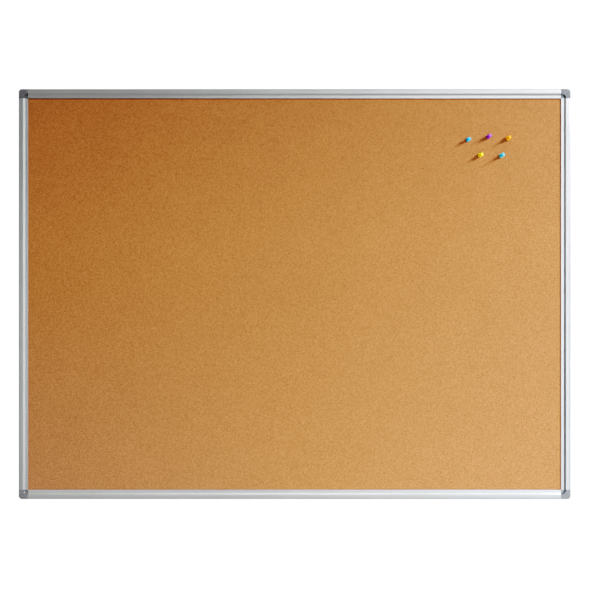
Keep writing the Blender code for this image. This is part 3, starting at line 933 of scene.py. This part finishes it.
# Radius, height above the head's base
HEAD = [
    (0.0, 11.80), (1.0, 11.80), (1.5, 11.90), (2.2, 11.94), (3.1, 11.70), (3.7, 11.20),
    (3.95, 10.55), (3.8, 9.95), (3.25, 9.45), (2.6, 8.85), (2.34, 7.9), (2.28, 6.5), (2.32, 5.0),
    (2.6, 3.65), (3.2, 2.75), (3.95, 2.05), (4.44, 1.40), (4.46, 0.75), (4.25, 0.20), (3.85, 0.02),
]
HEAD_BORE = [(3.2, 0.0), (0.9, 0.0), (0.9, 5.9), (0.0, 5.9)]
NEEDLE_SHAFT = [(0.0, 5.6), (0.5, 5.6), (0.6, 5.5), (0.6, 0.0), (0.6, -4.0)]
NEEDLE_POINT = [(0.6, -7.9), (0.52, -8.6), (0.36, -9.5), (0.15, -10.25), (0.0, -NEEDLE_REACH)]
HEAD_PROFILE = smooth_profile(HEAD, steps=4) + HEAD_BORE
NEEDLE_PROFILE = NEEDLE_SHAFT + smooth_profile(NEEDLE_POINT, steps=4)


def push_pin(name):
    """Head and needle of one pin; returns where its line meets the cork's face, and its axis."""
    body = "pin_" + name
    joint = next(j for j in frame["joints"] if j["child"] == body)
    out = Vector(joint["axis"]).normalized()
    needle_node, head_node = body + "_needle", body + "_head"
    # the needle's point is its vertex deepest along the axis
    points = np.array([v.co for v in frame["nodes"][needle_node].data.vertices], float)
    tip = Vector(points[(points @ np.array(out)).argmin()])
    base_at = tip + out * NEEDLE_REACH * MM
    turn = Vector((0, 0, 1)).rotation_difference(out).to_matrix().to_4x4()
    matrix = Matrix.Translation(base_at) @ turn
    for node, profile, segments, material, slot in (
        (head_node, HEAD_PROFILE, 72, PIN_PLASTIC[name], "pin_plastic_" + name),
        (needle_node, NEEDLE_PROFILE, 28, NEEDLE, "needle_steel"),
    ):
        made = "fine_" + node
        piece = new_object(made, turned_mesh(made, profile, segments, matrix))
        dress(piece, material, body, node)
    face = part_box("cork_sheet")[0].y
    return base_at + out * ((face - base_at.y) / out.y), out


pin_lines = [push_pin(name) for name in PIN_COLOURS]


# ------------------------------------------------------------------ sheets
def sheet(name, node, step, relief):
    """A thin closed sheet over a node's box; relief(x, z, front, back) gives its two depths."""
    lo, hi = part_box(node)
    nx, nz = max(2, round((hi.x - lo.x) / step)), max(2, round((hi.z - lo.z) / step))
    front, rear = [], []
    for z in np.linspace(lo.z, hi.z, nz + 1):
        for x in np.linspace(lo.x, hi.x, nx + 1):
            front_y, back_y = relief(x, z, lo.y, hi.y)
            front.append((x, front_y, z))
            rear.append((x, back_y, z))
    count = len(front)
    row = nx + 1
    faces = []
    for j in range(nz):
        for i in range(nx):
            a = j * row + i
            faces.append((a, a + 1, a + 1 + row, a + row))
            faces.append((count + a, count + a + row, count + a + 1 + row, count + a + 1))
    # the rim: bottom and top, then left and right
    for a in range(nx):
        faces.append((a, count + a, count + a + 1, a + 1))
        b = nz * row + a
        faces.append((b, b + 1, count + b + 1, count + b))
    for j in range(nz):
        a, b = j * row, (j + 1) * row
        faces.append((a, b, count + b, count + a))
        a, b = a + nx, b + nx
        faces.append((a, count + a, count + b, b))
    mesh = bpy.data.meshes.new(name)
    mesh.from_pydata(front + rear, [], faces)
    bm = bmesh.new()
    bm.from_mesh(mesh)
    bmesh.ops.recalc_face_normals(bm, faces=bm.faces)
    bm.to_mesh(mesh)
    bm.free()
    mesh.shade_smooth()
    return mesh


def cork_relief(x, z, front_y, back_y):
    """A face uneven by about a tenth of a millimetre, dented under each pin."""
    p = Vector((x, 0.0, z))
    bumps = noise.noise(p * 210.0) * 0.00006
    bumps += noise.noise(p * 95.0 + Vector((7, 3, 1))) * 0.00005
    bumps += noise.noise(p * 9.0) * 0.00006
    dent = 0.0
    for entry, _ in pin_lines:
        distance2 = (x - entry.x) ** 2 + (z - entry.z) ** 2
        if distance2 < 0.0004:
            dent += 0.00022 * math.exp(-distance2 / 0.000012)
    return front_y + 0.00012 + bumps + dent, back_y


def backing_relief(x, z, front_y, back_y):
    """Paper-faced sheet, faintly wavy except near its rim."""
    inset = min(x - X0, X1 - x, z - Z0, Z1 - z)
    free = max(0.0, min(1.0, (inset - 0.016) / 0.05))
    p = Vector((x, 0.0, z))
    wave = (noise.noise(p * 6.0) * 0.00035 + noise.noise(p * 23.0) * 0.00008) * free
    return front_y + wave * 0.4, back_y + wave


cork = new_object("fine_cork_sheet", sheet("fine_cork_sheet", "cork_sheet", 0.0040, cork_relief))
for entry, out in pin_lines:
    combine(cork, rod_mesh("hole", entry + out * 0.002, entry - out * 0.0085, 0.66, 0.66, 16))
settle(cork, 40)
dress(cork, CORK, "board", "cork_sheet")

core_board = frame["nodes"]["core_board"]
core_board.data.materials.clear()
core_board.data.materials.append(SOFTBOARD)

backing = new_object(
    "fine_backing_sheet", sheet("fine_backing_sheet", "backing_sheet", 0.012, backing_relief)
)
dress(backing, BACKING, "board", "backing_sheet")


# ------------------------------------------------------------------ stage and world
def floor_material():
    """Glowing white to the lens, ordinary grey paper to the light."""
    m = Nodes("studio_floor_pale")
    speck = m.noise(m.at, scale=3.0, detail=4.0, rough=0.6)
    m.set(Base_Color=m.mix(speck, (0.80, 0.80, 0.80), (0.84, 0.84, 0.84)), Roughness=0.8)
    seen = m.node("ShaderNodeLightPath", "Is Camera Ray")
    glow = m.node("ShaderNodeEmission", Color=(1, 1, 1, 1), Strength=1.0)
    paper = m.node("ShaderNodeBsdfDiffuse", Color=(0.30, 0.30, 0.30, 1))
    both = m.node("ShaderNodeAddShader", i0=m.shader.outputs[0], i1=glow)
    pick = m.node("ShaderNodeMixShader", i0=seen, i1=paper, i2=both)
    m.put(m.tree.nodes["Material Output"].inputs[0], pick)
    return m.material


def floor():
    bm = bmesh.new()
    bmesh.ops.create_grid(bm, x_segments=2, y_segments=2, size=30.0)
    made = new_object("studio_floor", finish_mesh("studio_floor", bm))
    made.location = (0, 0, Z0 - 0.85)
    made.data.materials.append(floor_material())


def studio_world():
    """Dim white to the light, bright white to the lens."""
    world = bpy.data.worlds.new("studio")
    scene.world = world
    world.use_nodes = True
    tree = world.node_tree
    ambient = tree.nodes["Background"]
    white = tree.nodes.new("ShaderNodeBackground")
    for background, strength in ((ambient, 0.105), (white, 1.05)):
        background.inputs["Color"].default_value = (1, 1, 1, 1)
        background.inputs["Strength"].default_value = strength
    lens_path = tree.nodes.new("ShaderNodeLightPath")
    either = tree.nodes.new("ShaderNodeMixShader")
    tree.links.new(lens_path.outputs["Is Camera Ray"], either.inputs[0])
    tree.links.new(ambient.outputs[0], either.inputs[1])
    tree.links.new(white.outputs[0], either.inputs[2])
    tree.links.new(either.outputs[0], tree.nodes["World Output"].inputs[0])


floor()
studio_world()


# ------------------------------------------------------------------ lights
def area(name, at, aim, size, power, colour=(1, 1, 1), only=None):
    """A rectangular lamp aimed at a point; only limits it to one collection."""
    light = bpy.data.lights.new(name, "AREA")
    light.shape = "RECTANGLE"
    light.size, light.size_y = size
    light.energy, light.color = power, colour
    lamp = bpy.data.objects.new(name, light)
    scene.collection.objects.link(lamp)
    lamp.location = at
    lamp.rotation_euler = (Vector(at) - Vector(aim)).to_track_quat("Z", "Y").to_euler()
    lamp.visible_camera = False
    if only:
        lamp.light_linking.receiver_collection = only
    return lamp


def from_mid(x, y, z):
    return (MID.x + x, y, MID.z + z)


def around(right, up, reach):
    """A point seen from the board's centre at degrees to its right and up, and a distance."""
    right, up = math.radians(right), math.radians(up)
    direction = (math.sin(right) * math.cos(up), -math.cos(right) * math.cos(up), math.sin(up))
    return MID + Vector(direction) * reach


def group(name, *pieces):
    """A collection of fine pieces for a lamp to reach."""
    made = bpy.data.collections.new(name)
    for piece in pieces:
        made.objects.link(bpy.data.objects["fine_" + piece])
    return made


def key_lamp(along, off_wall, reach):
    """Key placed from the pins, in degrees along the board's plane and off it, and a distance.

    Its long side stands out from the wall, so its shadows are narrow and fade along their length.
    """
    pins_at = Vector(from_mid(0.42, 0, 0.32))
    along, off_wall = math.radians(along), math.radians(off_wall)
    flat = math.cos(off_wall)
    direction = Vector((math.cos(along) * flat, -math.sin(off_wall), math.sin(along) * flat))
    at = pins_at + direction * reach
    lamp = area("key_window", at, pins_at, size=(0.24, 0.9), power=56)
    towards = (at - pins_at).normalized()
    across_axis = towards.cross(Vector((0, -1, 0))).normalized()
    deep_axis = towards.cross(across_axis).normalized()
    lamp.rotation_euler = Matrix((across_axis, deep_axis, towards)).transposed().to_euler()
    return lamp


key = key_lamp(along=29, off_wall=27, reach=2.0)
area("soft_front_right", around(right=14, up=4, reach=3.8), MID, size=(0.7, 1.6), power=7.4,
     colour=(0.95, 0.98, 1.0))
area("soft_low_right", around(right=22, up=-15, reach=3.5), MID, size=(1.2, 1.2), power=6.2,
     colour=(0.93, 0.97, 1.0))

# two lamps behind the wall plane reach the fine shapes and the core board
behind = group("lit_from_behind")
for piece in [*shapes.objects, core_board]:
    behind.objects.link(piece)
area("back_soft", from_mid(-1.4, 2.2, 1.2), MID, size=(1.6, 1.6), power=24, only=behind)
area("back_fill", from_mid(1.8, 1.8, -0.6), MID, size=(1.2, 1.2), power=15, only=behind)

# two low lamps miss the rails, so the frame keeps its dark lower bevels
below = group(
    "lit_from_below", "cork_sheet", "corner_cap_top_right", "corner_cap_bottom_left",
    "corner_cap_bottom_right", *[f"pin_{name}_head" for name in PIN_COLOURS],
)
area("low_left", from_mid(0.2, -0.7, -1.0), MID, size=(0.8, 0.5), power=3.9, only=below)
area("low_right", from_mid(0.7, -0.7, -0.6), MID, size=(0.8, 0.5), power=2.0, only=below)

# a high one from the right for the two rails that meet at the upper right corner
area("soft_high_right", around(right=26, up=30, reach=3.2), MID, size=(1.0, 0.7), power=5.0,
     colour=(0.95, 0.98, 1.0),
     only=group("lit_from_right", "frame_rail_top", "frame_rail_right"))

# a low fill from the left for the two rails that meet at the lower left corner
area("soft_left", from_mid(-0.85, -2.0, -0.35), (X0, 0, MID.z - 0.2), size=(0.8, 1.1), power=0.80,
     only=group("lit_from_left", "frame_rail_left", "frame_rail_bottom"))

# the left rail takes an even light along its length in place of the key's
past = group("not_lit_by_key", "frame_rail_left")
past.collection_objects[0].light_linking.link_state = "EXCLUDE"
key.light_linking.receiver_collection = past
area("left_bevel", from_mid(1.5, -1.36, 0.3), (X0, 0, MID.z), size=(0.5, 1.5), power=5.6,
     colour=(0.94, 0.985, 1.0), only=group("lit_along_left", "frame_rail_left"))

# a front fill for the middle of the right rail
area("right_front", from_mid(1.04, -2.2, 0), (X1, 0, MID.z), size=(0.4, 0.3), power=0.32,
     only=group("lit_right_front", "frame_rail_right"))

# a low front fill for the lower rail
area("low_front", from_mid(-0.1, -2.2, -0.78), (MID.x - 0.05, 0, Z0), size=(0.9, 0.4), power=0.4,
     only=group("lit_from_low_front", "frame_rail_bottom"))

# a high lamp for the upward bevels of the lower rail and its two caps
above = group(
    "lit_from_above", "frame_rail_bottom", "corner_cap_bottom_left", "corner_cap_bottom_right"
)
area("soft_top", around(right=10, up=62, reach=3.0), MID, size=(1.6, 1.2), power=27,
     colour=(0.93, 0.965, 1.0), only=above)

# ------------------------------------------------------------------ camera and film
# the camera looks square on, a hair right of and below the board's centre
WIDTH_SEEN = 1283.073 * MM  # at the board's front
DISTANCE = 3.0
SENSOR = 36.0
lens = bpy.data.cameras.new("camera")
camera = bpy.data.objects.new("camera", lens)
scene.collection.objects.link(camera)
lens.sensor_width = SENSOR
lens.lens = SENSOR * DISTANCE / WIDTH_SEEN
camera.location = (MID.x + 0.0009, Y_FRONT - DISTANCE, MID.z - 0.0020)
camera.rotation_euler = (math.radians(90), 0, 0)
scene.camera = camera

# Tone in and out, between fixed ends at 0 and 1: shadows deepen, middle tones lift
FILM = (
    (0.030, 0.012), (0.052, 0.044), (0.0795, 0.10), (0.1155, 0.19), (0.185, 0.32), (0.252, 0.42),
    (0.375, 0.55), (0.63, 0.75),
)
view = scene.view_settings
view.view_transform = "Standard"
view.look = "None"
view.use_curve_mapping = True
tone_curve = view.curve_mapping.curves[3]
for tone_in, tone_out in FILM:
    tone_curve.points.new(tone_in, tone_out)
for point in tone_curve.points:
    point.handle_type = "AUTO_CLAMPED"
view.curve_mapping.update()

# ------------------------------------------------------------------ close
bpy.context.view_layer.update()
